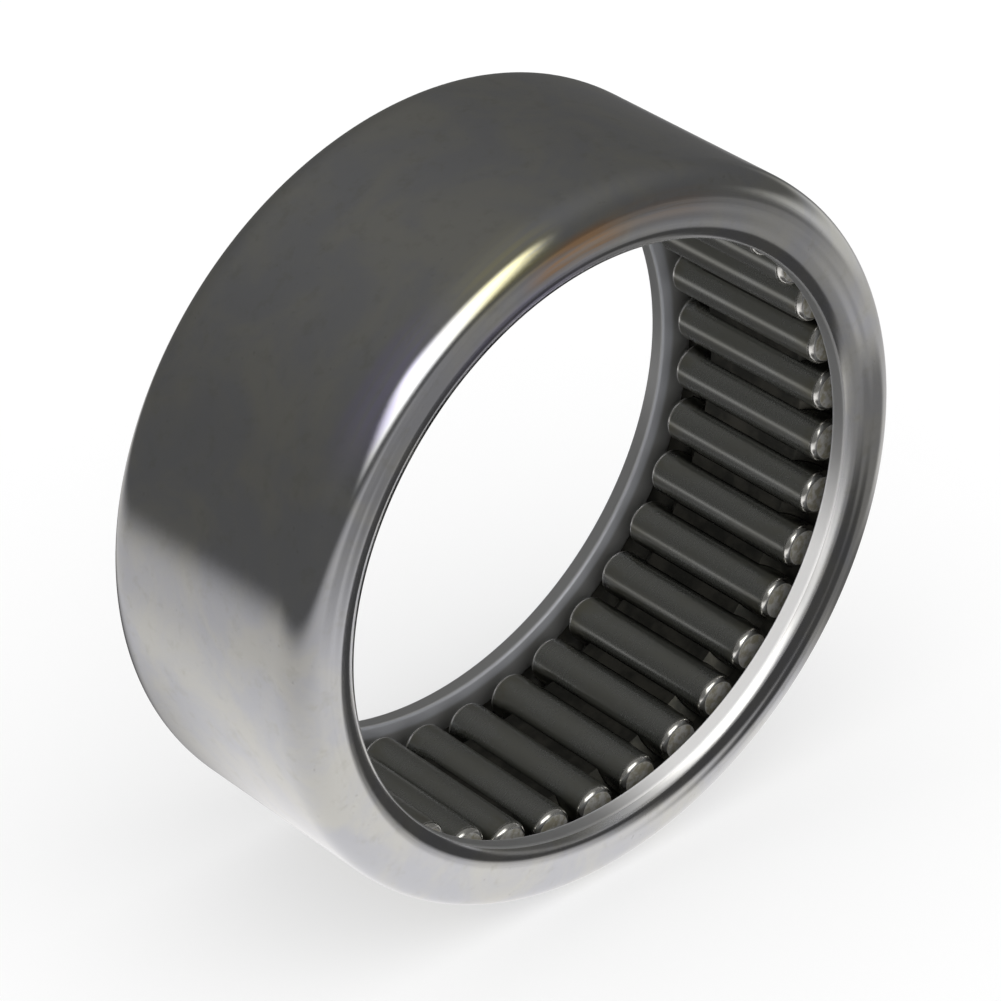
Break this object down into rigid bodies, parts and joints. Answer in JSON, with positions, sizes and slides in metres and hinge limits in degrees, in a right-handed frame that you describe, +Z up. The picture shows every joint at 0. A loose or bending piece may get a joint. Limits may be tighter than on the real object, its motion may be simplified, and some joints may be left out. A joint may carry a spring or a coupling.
{
  "type": "needle roller bearing",
  "caption": "Open-ended drawn-cup needle roller bearing: a thin steel cup with turned-in lips, a one-piece cage and slim rollers that carry a shaft.",
  "frame": {"origin": "centre of the bearing, on its axis, halfway between its two end faces", "axes": "Y is the bearing axis, the front face looks towards -Y, +Z is up with the bearing standing on its outside diameter"},
  "size_m": [0.0508, 0.019, 0.0508],
  "materials": {
    "cup_steel": "satin ground outside, drawn lips with a soft sheen, thin oil film",
    "cage_steel": "pressed steel, hardened to a dark grey oxide, oiled",
    "roller_steel": "finely ground hardened steel, oiled"
  },
  "bodies": {
    "cup": {"drawn_cup": "cup_steel"},
    "cage": {"cage": "cage_steel"},
    "roller_01": {"needle_roller_01": "roller_steel"},
    "roller_02": {"needle_roller_02": "roller_steel"},
    "roller_03": {"needle_roller_03": "roller_steel"},
    "roller_04": {"needle_roller_04": "roller_steel"},
    "roller_05": {"needle_roller_05": "roller_steel"},
    "roller_06": {"needle_roller_06": "roller_steel"},
    "roller_07": {"needle_roller_07": "roller_steel"},
    "roller_08": {"needle_roller_08": "roller_steel"},
    "roller_09": {"needle_roller_09": "roller_steel"},
    "roller_10": {"needle_roller_10": "roller_steel"},
    "roller_11": {"needle_roller_11": "roller_steel"},
    "roller_12": {"needle_roller_12": "roller_steel"},
    "roller_13": {"needle_roller_13": "roller_steel"},
    "roller_14": {"needle_roller_14": "roller_steel"},
    "roller_15": {"needle_roller_15": "roller_steel"},
    "roller_16": {"needle_roller_16": "roller_steel"},
    "roller_17": {"needle_roller_17": "roller_steel"},
    "roller_18": {"needle_roller_18": "roller_steel"},
    "roller_19": {"needle_roller_19": "roller_steel"},
    "roller_20": {"needle_roller_20": "roller_steel"},
    "roller_21": {"needle_roller_21": "roller_steel"},
    "roller_22": {"needle_roller_22": "roller_steel"},
    "roller_23": {"needle_roller_23": "roller_steel"},
    "roller_24": {"needle_roller_24": "roller_steel"},
    "roller_25": {"needle_roller_25": "roller_steel"},
    "roller_26": {"needle_roller_26": "roller_steel"},
    "roller_27": {"needle_roller_27": "roller_steel"},
    "roller_28": {"needle_roller_28": "roller_steel"},
    "roller_29": {"needle_roller_29": "roller_steel"},
    "roller_30": {"needle_roller_30": "roller_steel"},
    "roller_31": {"needle_roller_31": "roller_steel"},
    "roller_32": {"needle_roller_32": "roller_steel"},
    "roller_33": {"needle_roller_33": "roller_steel"},
    "roller_34": {"needle_roller_34": "roller_steel"},
    "roller_35": {"needle_roller_35": "roller_steel"},
    "roller_36": {"needle_roller_36": "roller_steel"}
  },
  "joints": [
    {"name": "cage_spin", "type": "hinge", "parent": "cup", "child": "cage", "pos_m": [0, 0, 0], "axis": [0, 1, 0], "continuous": true},
    {"name": "roller_01_spin", "type": "hinge", "parent": "cage", "child": "roller_01", "pos_m": [0.02218, 0, 0.00163], "axis": [0, 1, 0], "continuous": true},
    {"name": "roller_02_spin", "type": "hinge", "parent": "cage", "child": "roller_02", "pos_m": [0.02156, 0, 0.00546], "axis": [0, 1, 0], "continuous": true},
    {"name": "roller_03_spin", "type": "hinge", "parent": "cage", "child": "roller_03", "pos_m": [0.02028, 0, 0.00912], "axis": [0, 1, 0], "continuous": true},
    {"name": "roller_04_spin", "type": "hinge", "parent": "cage", "child": "roller_04", "pos_m": [0.01839, 0, 0.0125], "axis": [0, 1, 0], "continuous": true},
    {"name": "roller_05_spin", "type": "hinge", "parent": "cage", "child": "roller_05", "pos_m": [0.01594, 0, 0.0155], "axis": [0, 1, 0], "continuous": true},
    {"name": "roller_06_spin", "type": "hinge", "parent": "cage", "child": "roller_06", "pos_m": [0.01301, 0, 0.01804], "axis": [0, 1, 0], "continuous": true},
    {"name": "roller_07_spin", "type": "hinge", "parent": "cage", "child": "roller_07", "pos_m": [0.00968, 0, 0.02002], "axis": [0, 1, 0], "continuous": true},
    {"name": "roller_08_spin", "type": "hinge", "parent": "cage", "child": "roller_08", "pos_m": [0.00605, 0, 0.0214], "axis": [0, 1, 0], "continuous": true},
    {"name": "roller_09_spin", "type": "hinge", "parent": "cage", "child": "roller_09", "pos_m": [0.00225, 0, 0.02212], "axis": [0, 1, 0], "continuous": true},
    {"name": "roller_10_spin", "type": "hinge", "parent": "cage", "child": "roller_10", "pos_m": [-0.00163, 0, 0.02218], "axis": [0, 1, 0], "continuous": true},
    {"name": "roller_11_spin", "type": "hinge", "parent": "cage", "child": "roller_11", "pos_m": [-0.00546, 0, 0.02156], "axis": [0, 1, 0], "continuous": true},
    {"name": "roller_12_spin", "type": "hinge", "parent": "cage", "child": "roller_12", "pos_m": [-0.00912, 0, 0.02028], "axis": [0, 1, 0], "continuous": true},
    {"name": "roller_13_spin", "type": "hinge", "parent": "cage", "child": "roller_13", "pos_m": [-0.0125, 0, 0.01839], "axis": [0, 1, 0], "continuous": true},
    {"name": "roller_14_spin", "type": "hinge", "parent": "cage", "child": "roller_14", "pos_m": [-0.0155, 0, 0.01594], "axis": [0, 1, 0], "continuous": true},
    {"name": "roller_15_spin", "type": "hinge", "parent": "cage", "child": "roller_15", "pos_m": [-0.01804, 0, 0.01301], "axis": [0, 1, 0], "continuous": true},
    {"name": "roller_16_spin", "type": "hinge", "parent": "cage", "child": "roller_16", "pos_m": [-0.02002, 0, 0.00968], "axis": [0, 1, 0], "continuous": true},
    {"name": "roller_17_spin", "type": "hinge", "parent": "cage", "child": "roller_17", "pos_m": [-0.0214, 0, 0.00605], "axis": [0, 1, 0], "continuous": true},
    {"name": "roller_18_spin", "type": "hinge", "parent": "cage", "child": "roller_18", "pos_m": [-0.02212, 0, 0.00225], "axis": [0, 1, 0], "continuous": true},
    {"name": "roller_19_spin", "type": "hinge", "parent": "cage", "child": "roller_19", "pos_m": [-0.02218, 0, -0.00163], "axis": [0, 1, 0], "continuous": true},
    {"name": "roller_20_spin", "type": "hinge", "parent": "cage", "child": "roller_20", "pos_m": [-0.02156, 0, -0.00546], "axis": [0, 1, 0], "continuous": true},
    {"name": "roller_21_spin", "type": "hinge", "parent": "cage", "child": "roller_21", "pos_m": [-0.02028, 0, -0.00912], "axis": [0, 1, 0], "continuous": true},
    {"name": "roller_22_spin", "type": "hinge", "parent": "cage", "child": "roller_22", "pos_m": [-0.01839, 0, -0.0125], "axis": [0, 1, 0], "continuous": true},
    {"name": "roller_23_spin", "type": "hinge", "parent": "cage", "child": "roller_23", "pos_m": [-0.01594, 0, -0.0155], "axis": [0, 1, 0], "continuous": true},
    {"name": "roller_24_spin", "type": "hinge", "parent": "cage", "child": "roller_24", "pos_m": [-0.01301, 0, -0.01804], "axis": [0, 1, 0], "continuous": true},
    {"name": "roller_25_spin", "type": "hinge", "parent": "cage", "child": "roller_25", "pos_m": [-0.00968, 0, -0.02002], "axis": [0, 1, 0], "continuous": true},
    {"name": "roller_26_spin", "type": "hinge", "parent": "cage", "child": "roller_26", "pos_m": [-0.00605, 0, -0.0214], "axis": [0, 1, 0], "continuous": true},
    {"name": "roller_27_spin", "type": "hinge", "parent": "cage", "child": "roller_27", "pos_m": [-0.00225, 0, -0.02212], "axis": [0, 1, 0], "continuous": true},
    {"name": "roller_28_spin", "type": "hinge", "parent": "cage", "child": "roller_28", "pos_m": [0.00163, 0, -0.02218], "axis": [0, 1, 0], "continuous": true},
    {"name": "roller_29_spin", "type": "hinge", "parent": "cage", "child": "roller_29", "pos_m": [0.00546, 0, -0.02156], "axis": [0, 1, 0], "continuous": true},
    {"name": "roller_30_spin", "type": "hinge", "parent": "cage", "child": "roller_30", "pos_m": [0.00912, 0, -0.02028], "axis": [0, 1, 0], "continuous": true},
    {"name": "roller_31_spin", "type": "hinge", "parent": "cage", "child": "roller_31", "pos_m": [0.0125, 0, -0.01839], "axis": [0, 1, 0], "continuous": true},
    {"name": "roller_32_spin", "type": "hinge", "parent": "cage", "child": "roller_32", "pos_m": [0.0155, 0, -0.01594], "axis": [0, 1, 0], "continuous": true},
    {"name": "roller_33_spin", "type": "hinge", "parent": "cage", "child": "roller_33", "pos_m": [0.01804, 0, -0.01301], "axis": [0, 1, 0], "continuous": true},
    {"name": "roller_34_spin", "type": "hinge", "parent": "cage", "child": "roller_34", "pos_m": [0.02002, 0, -0.00968], "axis": [0, 1, 0], "continuous": true},
    {"name": "roller_35_spin", "type": "hinge", "parent": "cage", "child": "roller_35", "pos_m": [0.0214, 0, -0.00605], "axis": [0, 1, 0], "continuous": true},
    {"name": "roller_36_spin", "type": "hinge", "parent": "cage", "child": "roller_36", "pos_m": [0.02212, 0, -0.00225], "axis": [0, 1, 0], "continuous": true}
  ],
  "couplings": [
    {"joint": "roller_01_spin", "follows": "cage_spin", "ratio": -15},
    {"joint": "roller_02_spin", "follows": "cage_spin", "ratio": -15},
    {"joint": "roller_03_spin", "follows": "cage_spin", "ratio": -15},
    {"joint": "roller_04_spin", "follows": "cage_spin", "ratio": -15},
    {"joint": "roller_05_spin", "follows": "cage_spin", "ratio": -15},
    {"joint": "roller_06_spin", "follows": "cage_spin", "ratio": -15},
    {"joint": "roller_07_spin", "follows": "cage_spin", "ratio": -15},
    {"joint": "roller_08_spin", "follows": "cage_spin", "ratio": -15},
    {"joint": "roller_09_spin", "follows": "cage_spin", "ratio": -15},
    {"joint": "roller_10_spin", "follows": "cage_spin", "ratio": -15},
    {"joint": "roller_11_spin", "follows": "cage_spin", "ratio": -15},
    {"joint": "roller_12_spin", "follows": "cage_spin", "ratio": -15},
    {"joint": "roller_13_spin", "follows": "cage_spin", "ratio": -15},
    {"joint": "roller_14_spin", "follows": "cage_spin", "ratio": -15},
    {"joint": "roller_15_spin", "follows": "cage_spin", "ratio": -15},
    {"joint": "roller_16_spin", "follows": "cage_spin", "ratio": -15},
    {"joint": "roller_17_spin", "follows": "cage_spin", "ratio": -15},
    {"joint": "roller_18_spin", "follows": "cage_spin", "ratio": -15},
    {"joint": "roller_19_spin", "follows": "cage_spin", "ratio": -15},
    {"joint": "roller_20_spin", "follows": "cage_spin", "ratio": -15},
    {"joint": "roller_21_spin", "follows": "cage_spin", "ratio": -15},
    {"joint": "roller_22_spin", "follows": "cage_spin", "ratio": -15},
    {"joint": "roller_23_spin", "follows": "cage_spin", "ratio": -15},
    {"joint": "roller_24_spin", "follows": "cage_spin", "ratio": -15},
    {"joint": "roller_25_spin", "follows": "cage_spin", "ratio": -15},
    {"joint": "roller_26_spin", "follows": "cage_spin", "ratio": -15},
    {"joint": "roller_27_spin", "follows": "cage_spin", "ratio": -15},
    {"joint": "roller_28_spin", "follows": "cage_spin", "ratio": -15},
    {"joint": "roller_29_spin", "follows": "cage_spin", "ratio": -15},
    {"joint": "roller_30_spin", "follows": "cage_spin", "ratio": -15},
    {"joint": "roller_31_spin", "follows": "cage_spin", "ratio": -15},
    {"joint": "roller_32_spin", "follows": "cage_spin", "ratio": -15},
    {"joint": "roller_33_spin", "follows": "cage_spin", "ratio": -15},
    {"joint": "roller_34_spin", "follows": "cage_spin", "ratio": -15},
    {"joint": "roller_35_spin", "follows": "cage_spin", "ratio": -15},
    {"joint": "roller_36_spin", "follows": "cage_spin", "ratio": -15}
  ]
}
